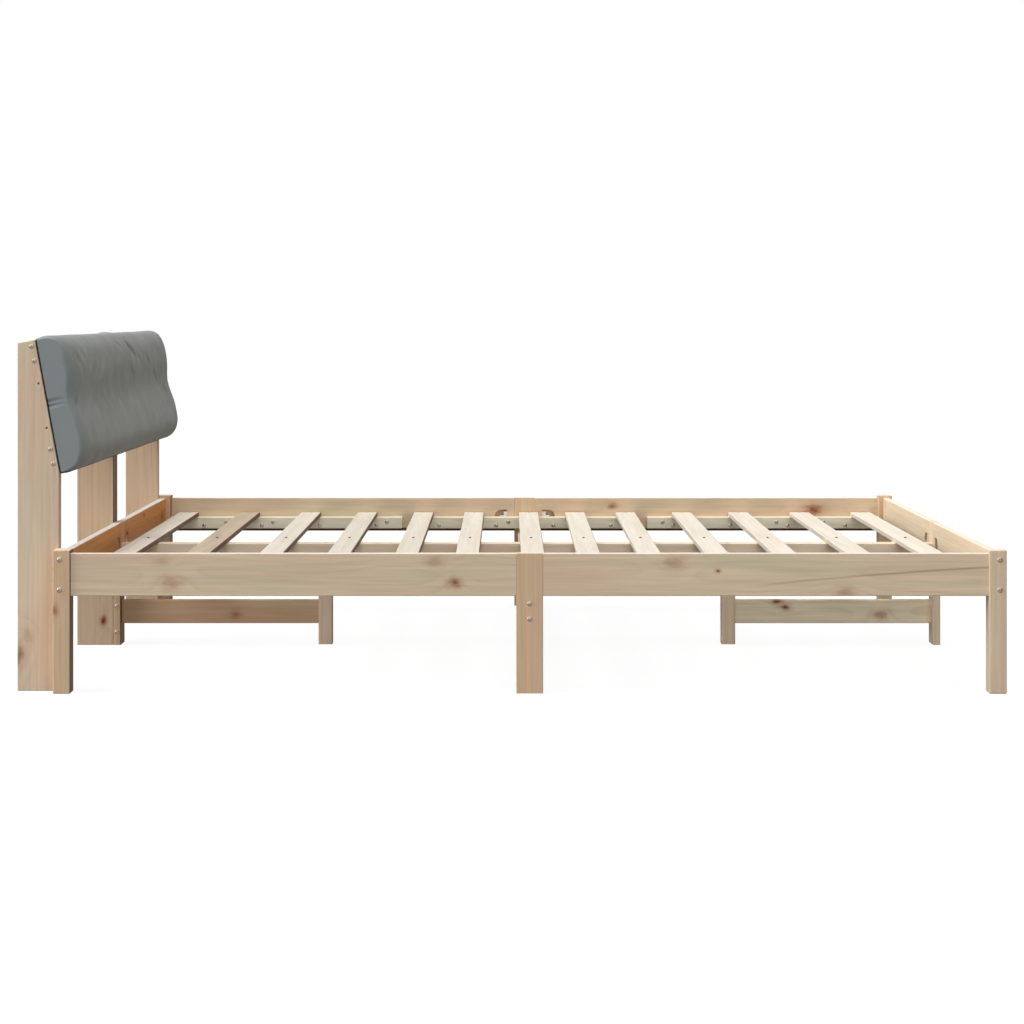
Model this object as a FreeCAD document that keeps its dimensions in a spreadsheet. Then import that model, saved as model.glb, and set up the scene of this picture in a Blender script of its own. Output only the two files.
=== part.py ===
# Bed frame in solid pine with a sloping, cushioned headboard.
# Four corner legs carry side rails and end boards that are bolted together in halves
# at flat centre legs. Thirteen slats lie on cleats and on a middle beam, which stands on a
# bearer and two low trestles. Four uprights behind the head end hold the backrest boards.
# The head is at -X, the foot at +X and the left side at +Y. The origin is on the floor,
# under the middle of the outer box.

import FreeCAD, Part
import math
import os

import Sketcher

doc = FreeCAD.newDocument("bed_frame")
sheet = doc.addObject("Spreadsheet::Sheet", "sizes")
places = doc.addObject("Spreadsheet::Sheet", "places")

# Driving dimensions in millimetres, and the lean in degrees.
driving = {
    # Outer size over the corner legs
    "frame_length": 2055,
    "frame_width": 1455,
    "leg_side": 38,
    "leg_height": 310,
    "leg_round": 3,
    # Rails, end boards and centre legs
    "board_thick": 18,
    "board_round": 2,
    "board_inset": 6,
    "rail_deep": 92,
    "rail_top": 302,
    "centre_leg_wide": 58,
    # Pockets beside the centre legs, which take the clamp plates and nuts
    "pocket_start": 20.5,
    "pocket_straight": 15.5,
    "pocket_round": 19,
    "pocket_depth": 15,
    "pocket_rise": 40,
    # Beam, bearer and trestles under the slats
    "beam_wide": 38,
    "beam_deep": 44.5,
    "bearer_wide": 38,
    "bearer_deep": 58,
    "post_side": 34,
    "post_place": 499,
    "stretcher_deep": 58,
    "stretcher_low": 51,
    # Slats
    "slat_seat": 250,
    "slat_wide": 55,
    "slat_thick": 12,
    "slat_end_gap": 3.5,
    "slat_end_margin": 49.5,
    "middle_slat_shift": 11,
    # Cleats on the rails' inner faces
    "cleat_thick": 22,
    "cleat_deep": 32,
    "cleat_middle_length": 600,
    "cleat_break": 43,
    # Headboard uprights with their sloping front
    "upright_wide": 90,
    "upright_thick": 28,
    "lean_start": 477,
    "lean_length": 290,
    "lean_angle": 10.45,
    "back_board_deep": 58,
    "back_board_low": 5,
    "spare_hole_wide": 5,
    "spare_hole_low": 97,
    "spare_hole_high": 195,
    # Cushion
    "cushion_low": 12,
    "cushion_high": 297,
    "cushion_thick": 60,
    "cushion_gap": 0.3,
    # Connector bolts and their barrel nuts
    "bolt_wide": 7,
    "bolt_head_wide": 12,
    "bolt_head_high": 3,
    "bolt_recess_wide": 5,
    "bolt_recess_deep": 2.2,
    "bolt_past": 6,
    "bolt_rise_wide": 32.5,
    "bolt_rise_close": 13,
    "nut_setback": 30,
    "barrel_wide": 10,
    "barrel_long": 13,
    "barrel_slot_wide": 1.6,
    "barrel_slot_deep": 1.2,
    # Stud joints at the centre legs
    "stud_wide": 8,
    "stud_set_in": 8,
    "stud_past": 3,
    "plate_thick": 9.5,
    "plate_wide": 13,
    "plate_high": 28,
    "nut_across": 13,
    "nut_thick": 6.5,
    # Wood screws
    "screw_wide": 4.5,
    "dome_wide": 11,
    "dome_high": 2.6,
    "small_dome_wide": 7,
    "small_dome_high": 2.4,
    "flush_head_wide": 8,
    "small_head_wide": 6,
    "screw_head_deep": 3,
    "screw_tip": 5,
    "screw_sink": 0.3,
    "cross_wide": 1.1,
    "cross_long": 4.6,
    "cross_deep": 1.6,
    "screw_short": 24,
    "screw_middle": 34,
    "screw_long": 60,
    # Places of the screws
    "cleat_middle_margin": 60,
    "cleat_screw_start": 72,
    "cleat_screw_end": 94.5,
    "cleat_screw_low": 8,
    "cleat_screw_high": 18,
    "cleat_high_place": 46,
    "bearer_screw_rise": 16.5,
    "stretcher_screw_rise": 14.5,
    "back_screw_rise": 16,
    "upright_screw_rise": 16,
    "upright_screw_low": 165,
    "upright_screw_spread": 25,
    "edge_screw_low": 32,
    "edge_screw_high": 96,
    "beam_screw_side": 10,
}
for row, (alias, value) in enumerate(driving.items(), 1):
    sheet.set(f"A{row}", alias)
    sheet.set(f"B{row}", str(value))
    sheet.setAlias(f"B{row}", alias)
doc.recompute()

# Places that several pieces share, worked out from the driving dimensions.
# "middle" is the X of the corner legs' rectangle, which lies ahead of the origin because the
# uprights stand out behind the head end. Other X places here are measured from it. The middle
# slat stands beside the joint of the beam's halves, so that its screw holds in one of them.
shared = {
    "middle": "(sizes.upright_wide - sizes.board_inset - sizes.bolt_head_high) / 2",
    "leg_x": "(sizes.frame_length - sizes.leg_side) / 2",
    "leg_y": "(sizes.frame_width - sizes.leg_side) / 2",
    "bay_x": "sizes.frame_length / 2 - sizes.leg_side",
    "bay_y": "sizes.frame_width / 2 - sizes.leg_side",
    "outer_x": "sizes.frame_length / 2 - sizes.board_inset",
    "outer_y": "sizes.frame_width / 2 - sizes.board_inset",
    "inner_x": "outer_x - sizes.board_thick",
    "inner_y": "outer_y - sizes.board_thick",
    "board_x": "outer_x - sizes.board_thick / 2",
    "board_y": "outer_y - sizes.board_thick / 2",
    "half_leg": "sizes.centre_leg_wide / 2",
    "rail_low": "sizes.rail_top - sizes.rail_deep",
    "rail_mid": "sizes.rail_top - sizes.rail_deep / 2",
    "pocket_z": "rail_low + sizes.pocket_rise",
    "pocket_wall": "half_leg + sizes.pocket_start",
    "pocket_bend": "pocket_wall + sizes.pocket_straight",
    "rail_pocket_wall": "middle + pocket_wall",
    "rail_pocket_bend": "middle + pocket_bend",
    "beam_low": "sizes.slat_seat - sizes.beam_deep",
    "bearer_low": "beam_low - sizes.bearer_deep",
    "cleat_low": "sizes.slat_seat - sizes.cleat_deep",
    "cleat_y": "inner_y - sizes.cleat_thick / 2",
    "cleat_start": "sizes.cleat_middle_length / 2 + sizes.cleat_break",
    "slat_place_0": "sizes.middle_slat_shift",
    "lean_sin": "sin(sizes.lean_angle * 1 deg)",
    "lean_cos": "cos(sizes.lean_angle * 1 deg)",
    "ground": "0",
    "front_x": "middle - outer_x",
    "rear_x": "front_x - sizes.upright_wide",
    "lean_z": "sizes.lean_start",
    "tip_x": "front_x - sizes.lean_length * lean_sin",
    "tip_z": "lean_z + sizes.lean_length * lean_cos",
    "rear_z": "tip_z - (tip_x - rear_x) * lean_sin / lean_cos",
}
# Where the slats stand on each side of the middle one, as shares of the way to the last.
# Their pitch widens towards both ends.
slat_shares = (0.15, 0.3, 0.468, 0.636, 0.818, 1)
for number, share in enumerate(slat_shares, 1):
    shared[f"slat_place_{number}"] = f"{share} * (bay_x - sizes.slat_end_margin)"
# The corners of both backrest boards, which lie on the lean and end flush with its top.
board_starts = {
    "low": "sizes.back_board_low",
    "high": "(sizes.lean_length - sizes.back_board_deep)",
}
for board, start in board_starts.items():
    for edge, up in (("bottom", start), ("top", f"({start} + sizes.back_board_deep)")):
        for side, back in (("front", "0"), ("rear", "sizes.board_thick")):
            shared[f"{board}_{edge}_{side}_x"] = f"front_x - {up} * lean_sin - {back} * lean_cos"
            shared[f"{board}_{edge}_{side}_z"] = f"lean_z + {up} * lean_cos - {back} * lean_sin"
for row, (alias, formula) in enumerate(shared.items(), 1):
    places.set(f"A{row}", alias)
    places.set(f"B{row}", f"={formula}")
    places.setAlias(f"B{row}", alias)
doc.recompute()


def size(alias):
    """The value of a driving dimension."""
    return float(sheet.get(alias))


def place(alias):
    """The value of a shared place."""
    return float(places.get(alias))


AHEAD = FreeCAD.Vector(1, 0, 0)
ACROSS = FreeCAD.Vector(0, 1, 0)
UP = FreeCAD.Vector(0, 0, 1)
QUARTER_TURN = math.pi / 2
SIDES = (-1, 1)
SLATS = 13
MIDDLE_SLAT = 7
# How far an edge's direction may lean and still count as along the grain.
STRAIGHT = 0.001
pieces = []


def keep(piece, label):
    """Label a finished piece and list it for writing."""
    piece.Label = label
    pieces.append(piece)
    return piece


def origin_plane(body, role):
    """One of a body's own origin planes."""
    for feature in body.Origin.OriginFeatures:
        if feature.Role == role:
            return feature


def block(name, x, y, low, length, width, height, grain="", rounding="sizes.board_round"):
    """A body with one box, centred on x and y, standing on low, eased along its grain."""
    body = doc.addObject("PartDesign::Body", name + "_body")
    box = body.newObject("PartDesign::AdditiveBox", name + "_box")
    box.setExpression("Length", length)
    box.setExpression("Width", width)
    box.setExpression("Height", height)
    box.setExpression("Placement.Base.x", f"{x} - ({length}) / 2")
    box.setExpression("Placement.Base.y", f"{y} - ({width}) / 2")
    box.setExpression("Placement.Base.z", low)
    doc.recompute()
    ease(body, box, grain, rounding)
    return body


def ease(body, solid, grain, rounding):
    """Round a body's long edges, or all of them where no grain is given."""
    directions = {"x": AHEAD, "y": ACROSS, "z": UP}
    chosen = []
    for number, edge in enumerate(solid.Shape.Edges, 1):
        run = (edge.Vertexes[1].Point - edge.Vertexes[0].Point).normalize()
        if not grain or abs(run.dot(directions[grain])) > 1 - STRAIGHT:
            chosen.append(f"Edge{number}")
    fillet = body.newObject("PartDesign::Fillet", body.Name + "_eased")
    fillet.Base = (solid, chosen)
    fillet.setExpression("Radius", rounding)
    body.Tip = fillet
    doc.recompute()


def drilled(name, stock, *groups):
    """The stock with holes where groups of fasteners pass through it."""
    for number, group in enumerate(groups):
        cut = doc.addObject("Part::Cut", f"{name}_drilled_{number}")
        cut.Base = stock
        cut.Tool = drills[group]
        stock = cut
    return stock


def mirror_image(name, source, normal):
    """A mirror image across the bed's length or its width."""
    image = doc.addObject("Part::Mirroring", name)
    image.Source = source
    image.Normal = normal
    if normal == AHEAD:
        image.setExpression("Base.x", "places.middle")
    return image


def mirrored(name, source, normal):
    """A finished piece that is the mirror image of another."""
    return keep(mirror_image(name, source, normal), name)


# Fasteners. Each is turned about +Z, with z = 0 on the surface of the wood that it enters.

def turned(points):
    """A solid turned about Z from (radius, height) points."""
    corners = [FreeCAD.Vector(radius, 0, height) for radius, height in points]
    outline = Part.makePolygon(corners + corners[:1])
    return Part.Face(outline).revolve(FreeCAD.Vector(), UP, 360)


def section(edges):
    """A solid turned about Z from the edges of its half section."""
    return Part.Face(Part.Wire(edges)).revolve(FreeCAD.Vector(), UP, 360)


def domed(head_wide, head_high, shank_wide, length, tip):
    """A fastener with a domed head that stands on the surface."""
    radius = (head_wide ** 2 / 4 + head_high ** 2) / (2 * head_high)
    centre = FreeCAD.Vector(0, 0, radius - head_high)
    top = FreeCAD.Vector(0, 0, -head_high)
    rim = FreeCAD.Vector(head_wide / 2, 0, 0)
    bulge = centre + (top - centre + rim - centre).normalize() * radius
    lower = [rim, FreeCAD.Vector(shank_wide / 2, 0, 0),
             FreeCAD.Vector(shank_wide / 2, 0, length - tip)]
    if tip:
        lower.append(FreeCAD.Vector(0, 0, length))
    else:
        lower += [FreeCAD.Vector(shank_wide / 2, 0, length), FreeCAD.Vector(0, 0, length)]
    lower.append(top)
    edges = [Part.Arc(top, bulge, rim).toShape()]
    edges += [Part.LineSegment(a, b).toShape() for a, b in zip(lower, lower[1:]) if a != b]
    return section(edges)


def cross_recess(solid, top):
    """The solid with a cross recess that starts at top."""
    long = size("cross_long")
    wide = size("cross_wide")
    for across, along in ((long, wide), (wide, long)):
        corner = FreeCAD.Vector(-across / 2, -along / 2, top)
        solid = solid.cut(Part.makeBox(across, along, size("cross_deep"), corner))
    return solid


def shank(wide, length, tip):
    """The hole that a domed fastener's shank fills."""
    return turned([(0, 0), (wide / 2, 0), (wide / 2, length - tip), (0, length)])


def flush_section(head_wide, length, top):
    """The half section of a countersunk screw whose head starts at top."""
    seat = size("screw_sink")
    return [(0, top), (head_wide / 2, top), (head_wide / 2, seat),
            (size("screw_wide") / 2, seat + size("screw_head_deep")),
            (size("screw_wide") / 2, length - size("screw_tip")), (0, length)]


def wood_screw(kind, length):
    """A wood screw and the hole that it fills.

    Its kind is domed or small_domed, whose head stands proud, or flush or small.
    """
    if kind.endswith("domed"):
        dome = kind[:-1]
        solid = domed(size(f"{dome}_wide"), size(f"{dome}_high"), size("screw_wide"), length,
                      size("screw_tip"))
        hole = shank(size("screw_wide"), length, size("screw_tip"))
        return cross_recess(solid, -size(f"{dome}_high")), hole
    head = size("small_head_wide") if kind == "small" else size("flush_head_wide")
    outline = flush_section(head, length, size("screw_sink"))
    outline.pop(2)
    return (cross_recess(turned(outline), size("screw_sink")),
            turned(flush_section(head, length, 0)))


def prism(sides, across_flats, height, low):
    """An upright prism about Z with flats that face +Y and -Y."""
    corner = FreeCAD.Rotation(UP, 360 / sides).multVec(AHEAD)
    flat = (AHEAD + corner).Length / 2
    points = [FreeCAD.Rotation(UP, 360 * turn / sides).multVec(AHEAD) * across_flats / 2 / flat
              + UP * low for turn in range(sides)]
    return Part.Face(Part.makePolygon(points + points[:1])).extrude(UP * height)


def bolt(length):
    """A connector bolt with a domed head and a six-sided recess."""
    solid = domed(size("bolt_head_wide"), size("bolt_head_high"), size("bolt_wide"), length, 0)
    recess = prism(6, size("bolt_recess_wide"), size("bolt_recess_deep"), -size("bolt_head_high"))
    return solid.cut(recess)


def set_in(shape, point, direction):
    """A copy of a shape with its Z axis turned to direction and its origin moved to point."""
    copy = shape.copy()
    copy.Placement = FreeCAD.Placement(point, FreeCAD.Rotation(UP, direction))
    return copy


def group(name, shapes):
    """One feature that holds a group of separate solids."""
    feature = doc.addObject("Part::Feature", name)
    feature.Shape = Part.makeCompound(shapes)
    return feature


drills = {}


def screw_group(name, driven):
    """Screws and their holes, from (point, direction, kind, length) rows."""
    made = {(kind, length): wood_screw(kind, length) for _, _, kind, length in driven}
    solids = [set_in(made[kind, length][0], point, way) for point, way, kind, length in driven]
    holes = [set_in(made[kind, length][1], point, way) for point, way, kind, length in driven]
    drills[name] = group(name + "_drill", holes)
    return keep(group(name, solids), name)


def at(x, y, z):
    """A point whose X is measured from the middle of the bed."""
    return FreeCAD.Vector(place("middle") + x, y, z)


# Connector bolts run through the corner legs into barrel nuts in the boards.
bolt_length = size("leg_side") + size("nut_setback") + size("bolt_past")
bolts = []
barrels = []
for end in SIDES:
    for side in SIDES:
        for step in SIDES:
            wide = place("rail_mid") + step * size("bolt_rise_wide")
            bolts.append((at(end * place("board_x"), side * size("frame_width") / 2, wide),
                          -side * ACROSS))
            barrels.append((at(end * place("inner_x"),
                               side * (place("bay_y") - size("nut_setback")), wide),
                            end * AHEAD))
            close = place("rail_mid") + step * size("bolt_rise_close")
            bolts.append((at(end * size("frame_length") / 2, side * place("board_y"), close),
                          -end * AHEAD))
            barrels.append((at(end * (place("bay_x") - size("nut_setback")),
                               side * place("inner_y"), close),
                            side * ACROSS))
leg_bolts = keep(group("leg_bolts", [set_in(bolt(bolt_length), *spot) for spot in bolts]),
                 "leg_bolts")
bolt_hole = Part.makeCylinder(size("bolt_wide") / 2, bolt_length)
drills["leg_bolts"] = group("leg_bolts_drill", [set_in(bolt_hole, *spot) for spot in bolts])
barrel = Part.makeCylinder(size("barrel_wide") / 2, size("barrel_long"))
slot_corner = FreeCAD.Vector(-size("barrel_wide") / 2, -size("barrel_slot_wide") / 2, 0)
slotted = barrel.cut(Part.makeBox(size("barrel_wide"), size("barrel_slot_wide"),
                                  size("barrel_slot_deep"), slot_corner))
drills["barrel_nuts"] = group("barrel_nuts_drill", [set_in(barrel, *spot) for spot in barrels])
barrel_stock = group("barrel_nuts_stock", [set_in(slotted, *spot) for spot in barrels])
keep(drilled("barrel_nuts", barrel_stock, "leg_bolts"), "barrel_nuts")

# A stud through each centre leg pulls both halves of a rail or board against it.
stud_reach = (place("pocket_wall") + size("plate_thick") + size("nut_thick")
              + size("stud_past"))
stud = Part.makeCylinder(size("stud_wide") / 2, 2 * stud_reach)
plate_corner = FreeCAD.Vector(-size("plate_high") / 2, -size("plate_wide") / 2, 0)
plate = Part.makeBox(size("plate_high"), size("plate_wide"), size("plate_thick"), plate_corner)
plate = plate.cut(stud)
nut = prism(6, size("nut_across"), size("nut_thick"), 0).cut(stud)
joints = []
for way in SIDES:
    joints.append((at(0, way * (place("inner_y") + size("stud_set_in")), place("pocket_z")),
                   AHEAD))
    joints.append((at(way * (place("inner_x") + size("stud_set_in")), 0, place("pocket_z")),
                   ACROSS))
studs = []
plates = []
nuts = []
for point, way in joints:
    turn = FreeCAD.Rotation(ACROSS, 90)
    if way == ACROSS:
        turn = FreeCAD.Rotation(UP, 90).multiply(turn)
    for facing in SIDES:
        for solid, reach, held in (
                (plate, place("pocket_wall"), plates),
                (nut, place("pocket_wall") + size("plate_thick"), nuts)):
            copy = solid.copy()
            along = reach
            if facing < 0:
                along = -reach - solid.BoundBox.ZMax
            copy.Placement = FreeCAD.Placement(point + way * along, turn)
            held.append(copy)
    rod = stud.copy()
    rod.Placement = FreeCAD.Placement(point - way * stud_reach, turn)
    studs.append(rod)
drills["joint_studs"] = keep(group("joint_studs", studs), "joint_studs")
keep(group("clamp_plates", plates), "clamp_plates")
keep(group("stud_nuts", nuts), "stud_nuts")

# Cleat screws in two rows, driven outwards into the rails.
cleat_screws = []
low_row = place("cleat_low") + size("cleat_screw_low")
high_row = place("cleat_low") + size("cleat_screw_high")
end_cleat = place("bay_x") - place("cleat_start")
inmost = size("cleat_middle_length") / 2 - size("cleat_middle_margin")
first = place("cleat_start") + size("cleat_screw_start")
reach = end_cleat - size("cleat_screw_start") - size("cleat_screw_end")
low_places = [inmost / 3, inmost] + [first + reach * count / 3 for count in range(4)]
high_shares = (0.065, 0.557, 0.76)
high_places = [place("cleat_start") + share * end_cleat for share in high_shares]
for side in SIDES:
    face = side * (place("inner_y") - size("cleat_thick"))
    rows = [(-size("cleat_high_place"), high_row)]
    for end in SIDES:
        rows += [(end * x, low_row) for x in low_places]
        rows += [(end * x, high_row) for x in high_places]
    for x, z in rows:
        cleat_screws.append((at(x, face, z), side * ACROSS, "domed", size("screw_middle")))
screw_group("cleat_screws", cleat_screws)

# Slat screws: one over the beam with a small domed head, and a flush one over each cleat.
slat_top = size("slat_seat") + size("slat_thick")
slat_screws = []
for number in range(1, SLATS + 1):
    step = number - MIDDLE_SLAT
    x = math.copysign(place(f"slat_place_{abs(step)}"), step)
    slat_screws.append((at(x, 0, slat_top), -UP, "small_domed", size("screw_middle")))
    for y in (-place("cleat_y"), place("cleat_y")):
        slat_screws.append((at(x, y, slat_top), -UP, "small", size("screw_middle")))
screw_group("slat_screws", slat_screws)


def lean_point(up, back, y):
    """A point on the lean, up the slope and behind its front face."""
    x = place("front_x") - up * place("lean_sin") - back * place("lean_cos")
    z = place("lean_z") + up * place("lean_cos") - back * place("lean_sin")
    return FreeCAD.Vector(x, y, z)


# Screws through the uprights into the ends of the backrest boards. Those between the two
# middle uprights lie flush, because the uprights stand back to back.
long_screw = size("screw_long")
back_screws = []
board_mids = (size("back_board_low") + size("back_board_deep") / 2,
              size("lean_length") - size("back_board_deep") / 2)
for middle in board_mids:
    for step in SIDES:
        up = middle + step * size("back_screw_rise")
        for side in SIDES:
            outer = lean_point(up, size("board_thick") / 2, side * place("bay_y"))
            inner = lean_point(up, size("board_thick") / 2, 0)
            back_screws.append((outer, -side * ACROSS, "domed", long_screw))
            back_screws.append((inner, side * ACROSS, "flush", long_screw))
screw_group("back_screws", back_screws)

# Screws that hold the bearer, the beam, the trestles and the uprights.
frame_screws = []
bearer_mid = place("bearer_low") + size("bearer_deep") / 2
stretcher_mid = size("stretcher_low") + size("stretcher_deep") / 2
post_in = size("post_place") - size("post_side") / 2
beam_mid = place("beam_low") + size("beam_deep") / 2
for way in SIDES:
    for step in SIDES:
        rise = bearer_mid + step * size("bearer_screw_rise")
        frame_screws.append((at(0, way * place("outer_y"), rise), -way * ACROSS, "domed",
                             long_screw))
        rise = stretcher_mid + step * size("stretcher_screw_rise")
        frame_screws.append((at(way * place("outer_x"), 0, rise), -way * AHEAD, "flush",
                             long_screw))
        frame_screws.append((at(way * post_in, 0, rise), way * AHEAD, "flush", long_screw))
        rise = place("rail_mid") + step * size("upright_screw_rise")
        side = way * (place("bay_y") - size("upright_thick") / 2)
        frame_screws.append((at(-place("inner_x"), side, rise), -AHEAD, "flush", long_screw))
        rise = size("upright_screw_low") + step * size("upright_screw_spread")
        side = way * size("upright_thick") / 2
        frame_screws.append((at(-place("inner_x"), side, rise), -AHEAD, "flush", long_screw))
    beside = way * size("beam_screw_side")
    frame_screws.append((at(way * place("outer_x"), 0, beam_mid), -way * AHEAD, "flush",
                         long_screw))
    frame_screws.append((at(way * size("post_place"), 0, size("slat_seat")), -UP, "flush",
                         long_screw))
    frame_screws.append((at(beside, beside, size("slat_seat")), -UP, "flush",
                         long_screw))
for rise in (size("edge_screw_low"), size("edge_screw_high")):
    frame_screws.append((at(-place("board_x"), -place("half_leg"), rise), ACROSS, "domed",
                         size("screw_short")))
screw_group("frame_screws", frame_screws)

# Corner legs, one modelled and three mirrored.
leg = block("leg", "places.middle + places.leg_x", "places.leg_y", "places.ground",
            "sizes.leg_side", "sizes.leg_side", "sizes.leg_height", "", "sizes.leg_round")
foot_left_leg = keep(drilled("corner_leg_foot_left", leg, "leg_bolts"), "corner_leg_foot_left")
head_left_leg = mirrored("corner_leg_head_left", foot_left_leg, AHEAD)
mirrored("corner_leg_foot_right", foot_left_leg, ACROSS)
mirrored("corner_leg_head_right", head_left_leg, ACROSS)


def pocket(body, role, reach, wall, bend, turned_round):
    """Cut a D-shaped pocket with its flat wall towards the centre leg."""
    sketch = body.newObject("Sketcher::SketchObject", body.Name + "_pocket_outline")
    sketch.AttachmentSupport = [(origin_plane(body, role), "")]
    sketch.MapMode = "FlatFace"
    sketch.setExpression("AttachmentOffset.Base.z", reach)
    radius = size("pocket_round")
    top = place("pocket_z") + radius
    bottom = place("pocket_z") - radius
    start = place(wall)
    centre = place(bend)
    corners = [FreeCAD.Vector(start, bottom, 0), FreeCAD.Vector(start, top, 0),
               FreeCAD.Vector(centre, top, 0), FreeCAD.Vector(centre, bottom, 0)]
    round_side = Part.Circle(FreeCAD.Vector(centre, place("pocket_z"), 0), UP, radius)
    sketch.addGeometry(Part.LineSegment(corners[0], corners[1]))
    sketch.addGeometry(Part.LineSegment(corners[1], corners[2]))
    sketch.addGeometry(Part.ArcOfCircle(round_side, -QUARTER_TURN, QUARTER_TURN))
    sketch.addGeometry(Part.LineSegment(corners[3], corners[0]))
    sketch.addConstraint([
        Sketcher.Constraint("Coincident", 0, 2, 1, 1), Sketcher.Constraint("Tangent", 1, 2, 2, 2),
        Sketcher.Constraint("Tangent", 3, 1, 2, 1), Sketcher.Constraint("Coincident", 3, 2, 0, 1),
        Sketcher.Constraint("Vertical", 0), Sketcher.Constraint("Horizontal", 1),
        Sketcher.Constraint("Horizontal", 3)])
    for kind, ends, value, formula in (
            ("DistanceX", (-1, 1, 0, 1), start, f"places.{wall}"),
            ("DistanceX", (-1, 1, 2, 3), centre, f"places.{bend}"),
            ("DistanceY", (-1, 1, 2, 3), place("pocket_z"), "places.pocket_z"),
            ("Radius", (2,), radius, "sizes.pocket_round")):
        number = sketch.addConstraint(Sketcher.Constraint(kind, *ends, value))
        sketch.setExpression(f"Constraints[{number}]", formula)
    cut = body.newObject("PartDesign::Pocket", body.Name + "_pocket")
    cut.Profile = sketch
    cut.Reversed = turned_round
    cut.setExpression("Length", "sizes.pocket_depth")
    body.Tip = cut
    doc.recompute()


# Side rails, in halves. The foot and head halves differ in their cleat screws.
rail_drills = ("leg_bolts", "barrel_nuts", "joint_studs", "cleat_screws")
rail = block("rail", "places.middle + (places.bay_x + places.half_leg) / 2", "places.board_y",
             "places.rail_low", "places.bay_x - places.half_leg", "sizes.board_thick",
             "sizes.rail_deep", "x")
pocket(rail, "XZ_Plane", "-places.inner_y", "rail_pocket_wall", "rail_pocket_bend", False)
for end, stock in (("foot", rail), ("head", mirror_image("head_rail_stock", rail, AHEAD))):
    left = keep(drilled(f"side_rail_{end}_left", stock, *rail_drills), f"side_rail_{end}_left")
    mirrored(f"side_rail_{end}_right", left, ACROSS)

# End boards, built like the rails. Those at the head also take the uprights' screws.
board_mid = "(places.bay_y + places.half_leg) / 2"
board_long = "places.bay_y - places.half_leg"
foot = block("foot_board", "places.middle + places.board_x", board_mid, "places.rail_low",
             "sizes.board_thick", board_long, "sizes.rail_deep", "y")
pocket(foot, "YZ_Plane", "places.middle + places.inner_x", "pocket_wall", "pocket_bend", True)
foot_left_board = keep(drilled("foot_board_left", foot, "leg_bolts", "barrel_nuts",
                               "joint_studs"), "foot_board_left")
mirrored("foot_board_right", foot_left_board, ACROSS)
head = block("head_board", "places.middle - places.board_x", board_mid, "places.rail_low",
             "sizes.board_thick", board_long, "sizes.rail_deep", "y")
pocket(head, "YZ_Plane", "places.middle - places.inner_x", "pocket_wall", "pocket_bend", False)
head_left_board = keep(drilled("head_board_left", head, "leg_bolts", "barrel_nuts",
                               "joint_studs", "frame_screws"), "head_board_left")
mirrored("head_board_right", head_left_board, ACROSS)

# Centre legs, flush with the rails and end boards that they join.
side_leg = block("side_leg", "places.middle", "places.board_y", "places.ground",
                 "sizes.centre_leg_wide", "sizes.board_thick", "sizes.rail_top", "z")
left_leg = keep(drilled("side_centre_leg_left", side_leg, "joint_studs", "frame_screws"),
                "side_centre_leg_left")
mirrored("side_centre_leg_right", left_leg, ACROSS)
for name, x in (("foot_centre_leg", "places.middle + places.board_x"),
                ("head_centre_leg", "places.middle - places.board_x")):
    end_leg = block(name, x, "places.ground", "places.ground", "sizes.board_thick",
                    "sizes.centre_leg_wide", "sizes.rail_top", "z")
    keep(drilled(name, end_leg, "joint_studs", "frame_screws"), name)

# Middle beam in two halves, the bearer under their joint, and a trestle under each half.
bearer = block("bearer", "places.middle", "places.ground", "places.bearer_low",
               "sizes.bearer_wide", "2 * places.inner_y", "sizes.bearer_deep", "y")
keep(drilled("cross_bearer", bearer, "frame_screws"), "cross_bearer")
for end, sign in (("foot", "+"), ("head", "-")):
    beam = block(f"beam_{end}", f"places.middle {sign} places.inner_x / 2", "places.ground",
                 "places.beam_low", "places.inner_x", "sizes.beam_wide", "sizes.beam_deep", "x")
    keep(drilled(f"middle_beam_{end}", beam, "slat_screws", "frame_screws"), f"middle_beam_{end}")
    post = block(f"post_{end}", f"places.middle {sign} sizes.post_place", "places.ground",
                 "places.ground", "sizes.post_side", "sizes.post_side", "places.beam_low", "z")
    keep(drilled(f"trestle_post_{end}", post, "frame_screws"), f"trestle_post_{end}")
    outside = "(sizes.post_place + sizes.post_side / 2)"
    stretcher = block(f"stretcher_{end}",
                      f"places.middle {sign} (places.inner_x + {outside}) / 2", "places.ground",
                      "sizes.stretcher_low", f"places.inner_x - {outside}", "sizes.board_thick",
                      "sizes.stretcher_deep", "x")
    keep(drilled(f"trestle_stretcher_{end}", stretcher, "frame_screws"),
         f"trestle_stretcher_{end}")

# Cleats, three to a side with a break beside the middle one.
end_cleat_long = "places.bay_x - places.cleat_start"
end_cleat_mid = "(places.bay_x + places.cleat_start) / 2"
for name, x, length in (("middle", "places.middle", "sizes.cleat_middle_length"),
                        ("foot", f"places.middle + {end_cleat_mid}", end_cleat_long)):
    cleat = block(f"{name}_cleat", x, "places.cleat_y", "places.cleat_low", length,
                  "sizes.cleat_thick", "sizes.cleat_deep", "x")
    left = keep(drilled(f"cleat_{name}_left", cleat, "cleat_screws", "slat_screws"),
                f"cleat_{name}_left")
    mirrored(f"cleat_{name}_right", left, ACROSS)
head_cleat = mirrored("cleat_head_left", doc.getObjectsByLabel("cleat_foot_left")[0], AHEAD)
mirrored("cleat_head_right", head_cleat, ACROSS)

# Thirteen slats, numbered from the head.
for number in range(1, SLATS + 1):
    step = number - MIDDLE_SLAT
    sign = "-" if step < 0 else "+"
    slat = block(f"slat_{number:02d}_stock", f"places.middle {sign} places.slat_place_{abs(step)}",
                 "places.ground", "sizes.slat_seat", "sizes.slat_wide",
                 "2 * (places.inner_y - sizes.slat_end_gap)", "sizes.slat_thick", "y")
    keep(drilled(f"slat_{number:02d}", slat, "slat_screws"), f"slat_{number:02d}")


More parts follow.
